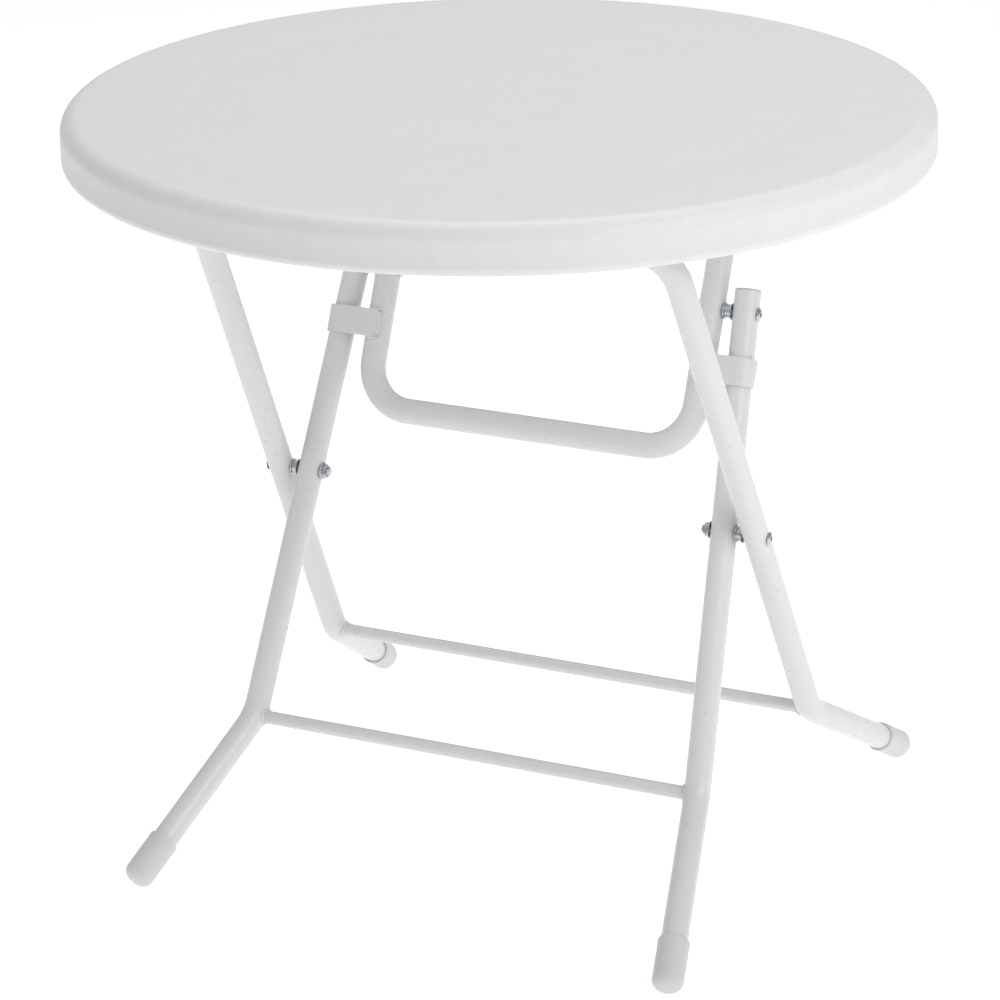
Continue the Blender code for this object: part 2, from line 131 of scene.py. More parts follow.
class FoldingTableTopSizes(bpy.types.PropertyGroup):
    """Sizes of the moulded top."""

    radius: length("Radius", "Half the width of the round top", TOP_HIGH.x)
    height: length("Height", "Height of the top surface above the floor", TOP_HIGH.z)
    edge_round: length("Edge round", "Radius of the rim's upper edge", 0.016)
    lower_round: length("Lower round", "Radius of the rim's lower edge", 0.006)
    ring_depth: length("Ring depth", "Depth of the three moulded rings", 0.00018)
    ring_width: length("Ring width", "Width of each moulded ring", 0.0050)
    dimple_pitch: length("Dimple pitch", "Spacing of the dimples under the top", 0.060)
    dimple_depth: length("Dimple depth", "Depth of the dimples under the top", 0.009)
    gate_radius: length("Gate radius", "Radius of the gate mark in the middle", 0.0034)
    gate_height: length("Gate height", "Height of the gate mark", 0.0005)
    vent_radius: length("Vent radius", "Radius of the blowing hole under the top", 0.0060)
    vent_depth: length("Vent depth", "Depth of the blowing hole", 0.014)


class FoldingTableStandSizes(bpy.types.PropertyGroup):
    """Sizes of the tubes, rods, plates and feet."""

    tube: length("Tube radius", "Outer radius of the bent tubes", 0.0125)
    wall: length("Tube wall", "Thickness of the tube wall", 0.0013)
    rod: length("Rod radius", "Radius of the spreader rods", 0.0065)
    bend: length("Leg bend", "Centreline radius of the bends in the legs", 0.050)
    lock_bend: length("Lock bar bend", "Centreline radius of the bends in the lock bar", 0.045)
    inner_x: length("Inner half width", "Half the spacing of the inner legs at the pivot", 0.2168)
    outer_x: length("Outer half width", "Half the spacing of the outer legs at the pivot", 0.2494)
    inner_spread: FloatProperty(
        name="Inner spread", description="How fast the inner legs spread downwards", default=0.0643,
    )
    outer_spread: FloatProperty(
        name="Outer spread", description="How fast the outer legs spread downwards", default=0.0395,
    )
    inner_bend_at: length("Inner bend", "How far below the pivot the inner legs bend", 0.246)
    outer_bend_at: length("Outer bend", "How far below the pivot the outer legs bend", 0.2535)
    leg_above_link: length("Leg end", "How far the inner legs run past the link pivot", 0.021)
    lock_reach: length("Lock bar reach", "From the link pivot to the lock bar's cross tube", 0.136)
    lock_above_hinge: length("Arm end", "How far the lock bar's arms run past their hinge", 0.009)
    front_tip: FloatVectorProperty(
        name="Front foot", description="End of a front foot cap on its axis", size=3,
        default=(0.2741, -0.2593, 0.0093), subtype="TRANSLATION", unit="LENGTH",
    )
    rear_tip: FloatVectorProperty(
        name="Rear foot", description="End of a rear foot cap on its axis", size=3,
        default=(0.2936, 0.3174, 0.0093), subtype="TRANSLATION", unit="LENGTH",
    )
    cap_radius: length("Cap radius", "Outer radius of the foot caps", 0.0149)
    cap_length: length("Cap length", "Length of the foot caps", 0.050)
    cap_end: length("Cap end", "Thickness of the foot caps below the tube", 0.012)
    plate_height: length("Plate height", "Height of the lock plates along the legs", 0.027)
    plate_thickness: length("Plate thickness", "Thickness of the lock plates", 0.002)
    plate_below_link: length("Plate place", "How far the lock plates lie below the link", 0.056)


class FoldingTableFastenerSizes(bpy.types.PropertyGroup):
    """Sizes of the bolts, nuts, spacers, screws, clips and brackets."""

    bolt: length("Bolt radius", "Radius of the bolts' shanks", 0.0040)
    head: length("Head radius", "Radius of the button heads", 0.0075)
    head_height: length("Head height", "Height of the button heads", 0.0050)
    low_head: length("Low head radius", "Radius of the low heads on the legs' outer sides", 0.0065)
    low_head_height: length("Low head height", "Height of those low heads", 0.0024)
    nut_flats: length("Nut size", "Width of the nuts across their flats", 0.0120)
    nut_depth: length("Nut depth", "Thickness of a nut with its flange", 0.0058)
    nut_flange: length("Flange radius", "Radius of the nuts' flanges", 0.0082)
    shank_past_face: length("Shank end", "How far a shank runs past the tube", 0.0085)
    spacer: length("Spacer radius", "Radius of the spacers' washers", 0.0080)
    sheet: length("Sheet", "Thickness of the clips and brackets", 0.0025)
    screw_head: length("Screw head", "Radius of the screws' pan heads", 0.0045)
    screw_head_height: length("Screw head height", "Height of the pan heads", 0.0028)
    clip_width: length("Clip width", "Width of the saddle clips", 0.030)
    clip_flange: length("Clip reach", "From the hinge to the end of a clip's flange", 0.036)
    clip_screw_at: length("Clip screw", "From the hinge to a clip's screw", 0.026)
    bracket_length: length("Bracket length", "Length of the hinge brackets", 0.064)
    bracket_screw_at: length("Bracket screw", "From the hinge to a bracket's screw", 0.023)
    ear_width: length("Ear width", "Width of the brackets' ears", 0.024)
    ear_clearance: length("Ear clearance", "Room between an ear and the tube", 0.0009)


class FoldingTableColours(bpy.types.PropertyGroup):
    """Colours of the finishes."""

    top: colour("Top", "Natural white of the moulded top", "#E2E2E1")
    top_shade: colour("Top shade", "Slightly darker streaks in the moulded top", "#D8D9D8")
    coating: colour("Coating", "White powder coating", "#D7D8D8")
    zinc: colour("Zinc", "Bright zinc plating", "#C9CCCF")
    zinc_shade: colour("Zinc shade", "Darker crystals in the zinc plating", "#AEB1B5")
    grey_plastic: colour("Grey plastic", "Caps, pads and plugs", "#CFD0D0")
    floor: colour("Floor", "Pale studio floor", "#F6F6F6")


class FoldingTableSettings(bpy.types.PropertyGroup):
    """All sizes and colours of the folding table."""

    top: PointerProperty(type=FoldingTableTopSizes, name="Top", description="Sizes of the top")
    stand: PointerProperty(type=FoldingTableStandSizes, name="Stand", description="Sizes of the stand")
    fasteners: PointerProperty(
        type=FoldingTableFastenerSizes, name="Fasteners", description="Sizes of the fasteners",
    )
    colours: PointerProperty(
        type=FoldingTableColours, name="Colours", description="Colours of the finishes",
    )


def settings():
    """Return the table's settings in this scene."""
    return bpy.context.scene.folding_table


# Finishes

def add_node(tree, kind, values=None, links=None):
    """Add a node, set its inputs or its own settings, and link its inputs."""
    node = tree.nodes.new(kind)
    for name, value in (values or {}).items():
        if name in node.inputs:
            node.inputs[name].default_value = value
        else:
            setattr(node, name, value)
    for name, output in (links or {}).items():
        tree.links.new(output, node.inputs[name])
    return node


def cells_per_metre(millimetres):
    """Return the texture scale at which one cell of a pattern has this size."""
    return 1000 / millimetres


def new_finish(name, values):
    """Make a material and return it with its tree, its shader and its own coordinates."""
    material = bpy.data.materials.new(name)
    material.use_nodes = True
    tree = material.node_tree
    shader = tree.nodes["Principled BSDF"]
    for socket, value in values.items():
        shader.inputs[socket].default_value = value
    place = add_node(tree, "ShaderNodeTexCoord").outputs["Object"]
    return material, tree, shader, place


def moulded_polyethylene(name):
    """High-density polyethylene, blow moulded against a fine-grained tool.

    A soft satin white: a fine grain breaks up the highlight, and faint streaks of flow
    and slight waviness show where the melt cooled.
    """
    shades = settings().colours
    material, tree, shader, place = new_finish(
        name, {"IOR": 1.54, "Metallic": 0.0, "Subsurface Weight": 0.0},
    )
    wave = {"Scale": cells_per_metre(30), "Detail": 4.0, "Roughness": 0.6, "Distortion": 1.2}
    flow = add_node(tree, "ShaderNodeTexNoise", wave, {"Vector": place})
    mixed = add_node(tree, "ShaderNodeMix", {"data_type": "RGBA"}, {"Factor": flow.outputs["Fac"]})
    mixed.inputs[6].default_value = shades.top[:]
    mixed.inputs[7].default_value = shades.top_shade[:]
    tree.links.new(mixed.outputs[2], shader.inputs["Base Color"])
    spread = {"To Min": 0.40, "To Max": 0.52}
    gloss = add_node(tree, "ShaderNodeMapRange", spread, {"Value": flow.outputs["Fac"]})
    tree.links.new(gloss.outputs["Result"], shader.inputs["Roughness"])
    # The tool's grain is about 0.3 mm; it is drawn at 1.1 mm, the finest that shows here.
    fine = {"Scale": cells_per_metre(1.1), "Detail": 2.0, "Roughness": 0.5}
    grain = add_node(tree, "ShaderNodeTexNoise", fine, {"Vector": place})
    broad = {"Strength": 0.35, "Distance": 0.0012}
    waves = add_node(tree, "ShaderNodeBump", broad, {"Height": flow.outputs["Fac"]})
    close = {"Strength": 0.30, "Distance": 0.00012}
    relief = add_node(
        tree, "ShaderNodeBump", close, {"Height": grain.outputs["Fac"], "Normal": waves.outputs["Normal"]},
    )
    tree.links.new(relief.outputs["Normal"], shader.inputs["Normal"])
    return material


def powder_coated_steel(name):
    """Steel tube with an epoxy-polyester powder coating, baked on.

    A bright, even white with a semi-gloss sheen, and an orange peel that ripples the
    long highlights along the tubes.
    """
    values = {"Base Color": settings().colours.coating[:], "IOR": 1.50, "Metallic": 0.0}
    material, tree, shader, place = new_finish(name, values)
    cloud = {"Scale": cells_per_metre(12), "Detail": 2.0}
    drift = add_node(tree, "ShaderNodeTexNoise", cloud, {"Vector": place})
    spread = {"To Min": 0.24, "To Max": 0.34}
    gloss = add_node(tree, "ShaderNodeMapRange", spread, {"Value": drift.outputs["Fac"]})
    tree.links.new(gloss.outputs["Result"], shader.inputs["Roughness"])
    peel = {"Scale": cells_per_metre(2.5), "Detail": 1.0, "Roughness": 0.4}
    cells = add_node(tree, "ShaderNodeTexNoise", peel, {"Vector": place})
    height = {"Strength": 0.08, "Distance": 0.00005}
    relief = add_node(tree, "ShaderNodeBump", height, {"Height": cells.outputs["Fac"]})
    tree.links.new(relief.outputs["Normal"], shader.inputs["Normal"])
    return material


def zinc_plated_steel(name):
    """Turned, pressed or rolled steel with bright zinc plating.

    A cool metallic grey whose fine crystals vary in tone and gloss from patch to patch.
    """
    shades = settings().colours
    material, tree, shader, place = new_finish(name, {"Metallic": 1.0})
    patch = {"Scale": cells_per_metre(3), "Detail": 3.0, "Roughness": 0.6}
    crystal = add_node(tree, "ShaderNodeTexNoise", patch, {"Vector": place})
    mixed = add_node(tree, "ShaderNodeMix", {"data_type": "RGBA"}, {"Factor": crystal.outputs["Fac"]})
    mixed.inputs[6].default_value = shades.zinc[:]
    mixed.inputs[7].default_value = shades.zinc_shade[:]
    tree.links.new(mixed.outputs[2], shader.inputs["Base Color"])
    spread = {"To Min": 0.20, "To Max": 0.36}
    gloss = add_node(tree, "ShaderNodeMapRange", spread, {"Value": crystal.outputs["Fac"]})
    tree.links.new(gloss.outputs["Result"], shader.inputs["Roughness"])
    fine = {"Scale": cells_per_metre(0.5), "Detail": 2.0}
    grit = add_node(tree, "ShaderNodeTexNoise", fine, {"Vector": place})
    height = {"Strength": 0.15, "Distance": 0.00004}
    relief = add_node(tree, "ShaderNodeBump", height, {"Height": grit.outputs["Fac"]})
    tree.links.new(relief.outputs["Normal"], shader.inputs["Normal"])
    return material


def moulded_polypropylene(name):
    """Polypropylene, injection moulded in a spark-eroded tool.

    A light grey with a dull sheen: the fine even texture scatters the light.
    """
    values = {"Base Color": settings().colours.grey_plastic[:], "IOR": 1.49, "Metallic": 0.0}
    material, tree, shader, place = new_finish(name, values)
    cloud = {"Scale": cells_per_metre(8), "Detail": 2.0}
    drift = add_node(tree, "ShaderNodeTexNoise", cloud, {"Vector": place})
    spread = {"To Min": 0.42, "To Max": 0.54}
    gloss = add_node(tree, "ShaderNodeMapRange", spread, {"Value": drift.outputs["Fac"]})
    tree.links.new(gloss.outputs["Result"], shader.inputs["Roughness"])
    fine = {"Scale": cells_per_metre(0.7), "Detail": 2.0}
    spark = add_node(tree, "ShaderNodeTexNoise", fine, {"Vector": place})
    height = {"Strength": 0.30, "Distance": 0.00008}
    relief = add_node(tree, "ShaderNodeBump", height, {"Height": spark.outputs["Fac"]})
    tree.links.new(relief.outputs["Normal"], shader.inputs["Normal"])
    return material


def painted_floor():
    """Studio floor of opal acrylic, painted matt white and lit a little from below.

    It reads as an even white in which only the soft contact shadows show.
    """
    values = {
        "Base Color": settings().colours.floor[:],
        "Roughness": 0.9,
        "Specular IOR Level": 0.2,
        "Emission Color": settings().colours.floor[:],
        "Emission Strength": 0.52,
    }
    material, tree, shader, place = new_finish("matt_white_acrylic", values)
    fine = {"Scale": cells_per_metre(6), "Detail": 2.0}
    nap = add_node(tree, "ShaderNodeTexNoise", fine, {"Vector": place})
    height = {"Strength": 0.1, "Distance": 0.0002}
    relief = add_node(tree, "ShaderNodeBump", height, {"Height": nap.outputs["Fac"]})
    tree.links.new(relief.outputs["Normal"], shader.inputs["Normal"])
    return material


FINISHES = {
    "white_moulded_plastic": ("blow_moulded_polyethylene", moulded_polyethylene),
    "white_powder_coat": ("powder_coated_steel", powder_coated_steel),
    "zinc_plated_steel": ("zinc_plated_steel_bright", zinc_plated_steel),
    "light_grey_plastic": ("injection_moulded_polypropylene", moulded_polypropylene),
}


def finish(slot):
    """Return the material of a slot, made once."""
    name, make = FINISHES[slot]
    return bpy.data.materials.get(name) or make(name)


# Shapes

def fit_piece(name, bm, slot, body, nodes, bevel=0.0, sharp=35.0):
    """Turn a bmesh into a finished piece that rides on a body and stands for its nodes."""
    bmesh.ops.recalc_face_normals(bm, faces=bm.faces)
    mesh = bpy.data.meshes.new(name)
    bm.to_mesh(mesh)
    bm.free()
    mesh.materials.append(finish(slot))
    mesh.shade_smooth()
    mesh.set_sharp_from_angle(angle=math.radians(sharp))
    piece = bpy.data.objects.new(name, mesh)
    bpy.context.collection.objects.link(piece)
    if bevel:
        rounding = piece.modifiers.new("edge rounding", "BEVEL")
        rounding.width = bevel
        rounding.segments = 3
        rounding.limit_method = "ANGLE"
        rounding.angle_limit = math.radians(40)
        rounding.harden_normals = True
    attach(piece, body)
    if nodes:
        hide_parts(*nodes)


def carved(bm, cutter_bm, operation="DIFFERENCE"):
    """Return a bmesh with an exact Boolean of another one applied to it."""
    pair = []
    for name, source in (("work", bm), ("tool", cutter_bm)):
        bmesh.ops.recalc_face_normals(source, faces=source.faces)
        mesh = bpy.data.meshes.new(name)
        source.to_mesh(mesh)
        source.free()
        thing = bpy.data.objects.new(name, mesh)
        bpy.context.collection.objects.link(thing)
        pair.append(thing)
    work, tool = pair
    modifier = work.modifiers.new("carve", "BOOLEAN")
    modifier.operation = operation
    modifier.solver = "EXACT"
    modifier.object = tool
    bpy.context.view_layer.update()
    result = bmesh.new()
    result.from_object(work, bpy.context.evaluated_depsgraph_get())
    for thing in pair:
        mesh = thing.data
        bpy.data.objects.remove(thing)
        bpy.data.meshes.remove(mesh)
    return result


def side_point(side, half_width, point):
    """Place a side-view point at a signed half width."""
    return Vector((side * half_width, point.y, point.z))


def inner_point(side, along):
    """Return a point on an inner leg's axis, a distance above the scissor pivot."""
    stand = settings().stand
    return side_point(side, stand.inner_x - stand.inner_spread * along, SCISSOR + INNER_UP * along)


def outer_point(side, along):
    """Return a point on an outer leg's axis, a distance above the scissor pivot."""
    stand = settings().stand
    return side_point(side, stand.outer_x - stand.outer_spread * along, SCISSOR + OUTER_UP * along)


def rounded_path(points, radius, steps=20):
    """Replace each inner corner of a polyline by an arc."""
    path = [points[0]]
    for before, corner, after in zip(points, points[1:], points[2:]):
        back = (before - corner).normalized()
        ahead = (after - corner).normalized()
        half = back.angle(ahead) / 2
        centre = corner + (back + ahead).normalized() * (radius / math.sin(half))
        start = corner + back * (radius / math.tan(half)) - centre
        end = corner + ahead * (radius / math.tan(half)) - centre
        sweep = start.angle(end)
        for step in range(steps + 1):
            t = step / steps
            arm = start * math.sin((1 - t) * sweep) + end * math.sin(t * sweep)
            path.append(centre + arm / math.sin(sweep))
    path.append(points[-1])
    return path


def ring_frames(path, closed=False):
    """Return a point and two cross directions for each point of a path."""
    frames = []
    count = len(path)
    tangent = (path[1] - path[0]).normalized()
    across = tangent.orthogonal().normalized()
    for index, point in enumerate(path):
        before = path[index - 1] if closed else path[max(index - 1, 0)]
        after = path[(index + 1) % count] if closed else path[min(index + 1, count - 1)]
        fresh = (after - before).normalized()
        across = tangent.rotation_difference(fresh) @ across
        tangent = fresh
        frames.append((point, across, tangent.cross(across)))
    return frames


def add_ring(bm, ring_frame, radius, sides):
    """Add one closed ring of vertices; the radius may be a function of the angle."""
    point, across, up = ring_frame
    ring = []
    for index in range(sides):
        turn = 2 * math.pi * index / sides
        reach = radius(turn) if callable(radius) else radius
        ring.append(bm.verts.new(point + (across * math.cos(turn) + up * math.sin(turn)) * reach))
    return ring


def skin_rings(bm, first, second):
    """Join two rings with the same number of vertices."""
    count = len(first)
    for index in range(count):
        follow = (index + 1) % count
        bm.faces.new((first[index], first[follow], second[follow], second[index]))


def sweep(bm, path, radius, inner=0.0, sides=TUBE_SIDES):
    """Sweep a circle, or a tube's wall if inner is set, along a path."""
    frames = ring_frames(path)
    outside = [add_ring(bm, each, radius, sides) for each in frames]
    for first, second in zip(outside, outside[1:]):
        skin_rings(bm, first, second)
    if not inner:
        bm.faces.new(outside[0])
        bm.faces.new(outside[-1])
        return
    inside = [add_ring(bm, each, inner, sides) for each in frames]
    for first, second in zip(inside, inside[1:]):
        skin_rings(bm, first, second)
    skin_rings(bm, outside[0], inside[0])
    skin_rings(bm, outside[-1], inside[-1])


def turn_profile(bm, profile, start, direction, sides=TURNED_SIDES):
    """Turn a profile of (radius, distance) pairs about an axis.

    A point at radius 0 closes the shape on the axis; a profile without one is a ring.
    """
    across = direction.orthogonal().normalized()
    up = direction.cross(across)
    rings = []
    for radius, distance in profile:
        point = start + direction * distance
        if not callable(radius) and radius == 0:
            rings.append([bm.verts.new(point)])
        else:
            rings.append(add_ring(bm, (point, across, up), radius, sides))
    pairs = list(zip(rings, rings[1:]))
    if len(rings[0]) > 1:
        pairs.append((rings[-1], rings[0]))
    for first, second in pairs:
        if len(first) == len(second):
            skin_rings(bm, first, second)
            continue
        fan = first if len(first) > 1 else second
        tip = second[0] if len(first) > 1 else first[0]
        for index in range(sides):
            bm.faces.new((fan[index], fan[(index + 1) % sides], tip))


def extrude_outline(bm, outline, direction, depth):
    """Extrude a flat closed outline by a depth along a direction."""
    near = [bm.verts.new(point) for point in outline]
    far = [bm.verts.new(point + direction * depth) for point in outline]
    bm.faces.new(near)
    bm.faces.new(far)
    skin_rings(bm, near, far)


def arc(centre, first, second, radius, start, end, steps):
    """Return points on an arc between two angles in degrees, in a plane of two directions."""
    points = []
    for step in range(steps + 1):
        turn = math.radians(start + (end - start) * step / steps)
        points.append(centre + (first * math.cos(turn) + second * math.sin(turn)) * radius)
    return points


def profile_arc(radius_at, distance_at, radius, start, end, steps):
    """Return (radius, distance) pairs on an arc between two angles in degrees."""
    pairs = []
    for step in range(steps + 1):
        turn = math.radians(start + (end - start) * step / steps)
        pairs.append((radius_at + radius * math.cos(turn), distance_at + radius * math.sin(turn)))
    return pairs


def hexagon(across_flats, limit):
    """Return the radius of a hexagon at each angle, cut back to a round limit."""

    def reach(turn):
        within = (turn + math.pi / 6) % (math.pi / 3) - math.pi / 6
        return min(across_flats / 2 / math.cos(within), limit)

    return reach


# Welds

def bead(bm, path, size, closed, seed):
    """Lay a rippled weld bead along a path."""
    sides = 14
    count = len(path)
    rings = []
    for index, ring_frame in enumerate(ring_frames(path, closed)):
        ragged = noise.noise(path[index] * 700 + Vector((seed, 0, 0)))
        ripple = 1 + 0.10 * math.sin(index * 1.9) + 0.12 * ragged
        if not closed:
            ripple *= math.sqrt(max(math.sin(math.pi * (index + 0.6) / (count + 0.2)), 0.02))
        rings.append(add_ring(bm, ring_frame, size * ripple, sides))
    pairs = list(zip(rings, rings[1:]))
    if closed:
        pairs.append((rings[-1], rings[0]))
    else:
        bm.faces.new(rings[0])
        bm.faces.new(rings[-1])
    for first, second in pairs:
        skin_rings(bm, first, second)


def rod_weld(bm, rod_point, toward, rod, tube_point, tube_way, tube, seed):
    """Lay the bead where a rod meets the side of a tube."""
    steps = 56
    size = 0.0019
    across = toward.orthogonal().normalized()
    up = toward.cross(across)
    flat_way = toward - tube_way * toward.dot(tube_way)
    path = []
    for step in range(steps):
        turn = 2 * math.pi * step / steps
        edge = rod_point + (across * math.cos(turn) + up * math.sin(turn)) * (rod + size * 0.25)
        offset = edge - tube_point
        flat = offset - tube_way * offset.dot(tube_way)
        a = flat_way.length_squared
        b = flat.dot(flat_way)
        c = flat.length_squared - tube ** 2
        path.append(edge + toward * ((-b - math.sqrt(max(b * b - a * c, 0.0))) / a))
    bead(bm, path, size, True, seed)


def nearest_on(path, point):
    """Return the path's point nearest to a point, and the path's direction there."""
    index = min(range(1, len(path) - 1), key=lambda each: (path[each] - point).length)
    return path[index], (path[index + 1] - path[index - 1]).normalized()


def welded_rod(name, left_path, right_path, bend, node, body):
    """Rod between the bends of two legs, with a weld bead around each end."""
    stand = settings().stand
    left, left_way = nearest_on(left_path, side_point(-1, bend.x, bend))
    right, right_way = nearest_on(right_path, side_point(1, bend.x, bend))
    left_end = side_point(-1, abs(left.x) - stand.tube * 0.6, bend)
    right_end = side_point(1, abs(right.x) - stand.tube * 0.6, bend)
    bm = bmesh.new()
    sweep(bm, [left_end, right_end], stand.rod, sides=TURNED_SIDES)
    middle = side_point(0, 0, bend)
    rod_weld(bm, middle, -ACROSS, stand.rod, left, left_way, stand.tube, 1)
    rod_weld(bm, middle, ACROSS, stand.rod, right, right_way, stand.tube, 2)
    fit_piece(name, bm, "white_powder_coat", body, [node])


# The top

def underside_dimples():
    """Return the places of the dimples under the top, clear of all that is fixed to it."""
    top = settings().top
    kinds = ("saddle_clip", "hinge_bracket")
    fixed = [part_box(f"{kind}_{name}") for kind in kinds for name, _ in SIDE_NAMES]
    clear = 0.018
    inside = top.radius - 0.045
    row_pitch = top.dimple_pitch * math.sqrt(3) / 2
    rows = int(top.radius / row_pitch) + 1
    places = []
    for row in range(-rows, rows + 1):
        for column in range(-rows, rows + 1):
            place = Vector(((column + (row % 2) / 2) * top.dimple_pitch, row * row_pitch, 0.0))
            blocked = place.length > inside or (place - VENT).length < 0.028
            for low, high in fixed:
                inside_x = low.x - clear < place.x < high.x + clear
                blocked = blocked or (inside_x and low.y - clear < place.y < high.y + clear)
            if not blocked:
                places.append(place)
    return places


def top_surface(radius):
    """Return the height of the upper surface at a radius, with its rings and gate mark."""
    top = settings().top
    drop = 0.0
    for ring in RING_RADII:
        away = abs(radius - ring) / (top.ring_width / 2)
        if away < 1:
            drop += top.ring_depth * (0.5 + 0.5 * math.cos(math.pi * away))
    if radius < top.gate_radius:
        drop -= top.gate_height * (1 - (radius / top.gate_radius) ** 2)
    return top.height - drop


class FOLDINGTABLE_OT_top(bpy.types.Operator):
    """Build the moulded top with its rolled rim, rings and dimpled underside"""

    bl_idname = "folding_table.top"
    bl_label = "Moulded Top"

    def execute(self, context):
        bm = bmesh.new()
        turn_profile(bm, self.outline(), Vector(), UP, TOP_SIDES)
        fit_piece(
            "moulded_top", carved(bm, self.hollows()), "white_moulded_plastic", "tabletop", ["tabletop"],
            sharp=40,
        )
        return {"FINISHED"}

    def outline(self):
        """Return the top's profile, from the middle of its face out and back underneath."""
        top = settings().top
        radii = [0.0010, 0.0022, 0.0034, 0.0045, 0.0060, 0.0200, 0.1000, 0.2150, 0.3400]
        for ring in RING_RADII:
            radii += [ring + top.ring_width * step / 12 for step in range(-6, 7)]
        profile = [(0, top_surface(0))]
        profile += [(radius, top_surface(radius)) for radius in sorted(radii)]
        flat = top.radius - top.edge_round
        profile += profile_arc(flat, top.height - top.edge_round, top.edge_round, 90, 0, 16)
        seam = UNDERSIDE + top.lower_round
        # The parting line of the two mould halves is a fine ridge above the lower round.
        profile += [(top.radius, seam + 0.0016), (top.radius + 0.00018, seam + 0.0010)]
        profile += [(top.radius, seam + 0.0004)]
        profile += profile_arc(top.radius - top.lower_round, seam, top.lower_round, 0, -90, 8)
        # A shallow groove runs round just inside the rim.
        ledge = top.radius - 0.018
        groove = [(0, 0), (0.0008, 0.0006), (0.0014, 0.0022)]
        groove += [(0.0050, 0.0022), (0.0056, 0.0006), (0.0064, 0)]
        profile += [(ledge - inward, UNDERSIDE + rise) for inward, rise in groove]
        return profile + [(0.200, UNDERSIDE), (0.100, UNDERSIDE), (0, UNDERSIDE)]

    def hollows(self):
        """Return the shapes cut from the underside: a field of dimples and the blowing hole."""
        top = settings().top
        below = 0.002
        cone = [(0, -below), (0.0135, -below), (0.0135, 0.0), (0.0118, 0.0016)]
        cone += [(0.0095, top.dimple_depth - 0.002), (0.0080, top.dimple_depth), (0, top.dimple_depth)]
        vent = [(0, -below), (top.vent_radius, -below), (top.vent_radius, top.vent_depth)]
        vent += [(0, top.vent_depth)]
        cutters = bmesh.new()
        for place in underside_dimples():
            turn_profile(cutters, cone, place + UP * UNDERSIDE, UP, CUTTER_SIDES)
        turn_profile(cutters, vent, VENT + UP * UNDERSIDE, UP, CUTTER_SIDES)
        return cutters


# The stand

def tube_end(side, tip, bend):
    """Return the tube's end inside its foot cap."""
    end = side_point(side, tip[0], Vector(tip))
    return end + (bend - end).normalized() * settings().stand.cap_end


def inner_leg_path(side):
    """Return the centreline of an inner leg, from its foot up."""
    stand = settings().stand
    bend = inner_point(side, -stand.inner_bend_at)
    top = inner_point(side, LINK_REACH + stand.leg_above_link)
    return rounded_path([tube_end(side, stand.front_tip, bend), bend, top], stand.bend)


def outer_frame_path():
    """Return the centreline of the outer frame, from one rear foot over to the other."""
    stand = settings().stand
    corners = []
    for side in (-1, 1):
        bend = outer_point(side, -stand.outer_bend_at)
        chain = [tube_end(side, stand.rear_tip, bend), bend, outer_point(side, FRONT_HINGE_AT)]
        corners += chain if side < 0 else chain[::-1]
    return rounded_path(corners, stand.bend)


class FOLDINGTABLE_OT_outer_frame(bpy.types.Operator):
    """Build the outer frame tube and the welded rod between the rear legs"""

    bl_idname = "folding_table.outer_frame"
    bl_label = "Outer Frame"

    def execute(self, context):
        stand = settings().stand
        path = outer_frame_path()
        bm = bmesh.new()
        sweep(bm, path, stand.tube, stand.tube - stand.wall)
        fit_piece("outer_tube", bm, "white_powder_coat", "outer_frame", ["outer_frame"])
        half = len(path) // 2
        bend = outer_point(1, -stand.outer_bend_at)
        welded_rod("rear_rod", path[:half], path[half:], bend, "rear_spreader", "outer_frame")
        return {"FINISHED"}


class FOLDINGTABLE_OT_inner_legs(bpy.types.Operator):
    """Build the two inner legs, their end plugs and the welded rod between them"""

    bl_idname = "folding_table.inner_legs"
    bl_label = "Inner Legs"

    def execute(self, context):
        stand = settings().stand
        paths = {}
        for name, side in SIDE_NAMES:
            path = inner_leg_path(side)
            paths[side] = path
            bm = bmesh.new()
            sweep(bm, path, stand.tube, stand.tube - stand.wall)
            fit_piece(f"inner_tube_{name}", bm, "white_powder_coat", "inner_frame", [f"inner_leg_{name}"])
            self.add_plug(name, path)
        bend = inner_point(1, -stand.inner_bend_at)
        welded_rod("front_rod", paths[-1], paths[1], bend, "front_spreader", "inner_frame")
        return {"FINISHED"}

    def add_plug(self, name, path):
        """Ribbed plug pushed into the leg's upper end, with a thin flange over the wall."""
        stand = settings().stand
        way = (path[-1] - path[-2]).normalized()
        stem = stand.tube - stand.wall - GAP
        edge = stand.tube - GAP
        profile = [(0, 0.0014), (edge * 0.5, 0.0015)]
        profile += profile_arc(edge - 0.0007, 0.0009, 0.0007, 90, 0, 5)
        profile += [(edge, GAP), (stem, GAP)]
        for rib in range(3):
            at = -0.002 - 0.0035 * rib
            profile += [(stem - 0.0008, at), (stem, at - 0.0008), (stem - 0.0008, at - 0.0022)]
        profile += [(stem - 0.0010, -0.0145), (0, -0.0145)]
        bm = bmesh.new()
        turn_profile(bm, profile, path[-1], way)
        fit_piece(f"end_plug_{name}", bm, "light_grey_plastic", "inner_frame", [f"leg_plug_{name}"])


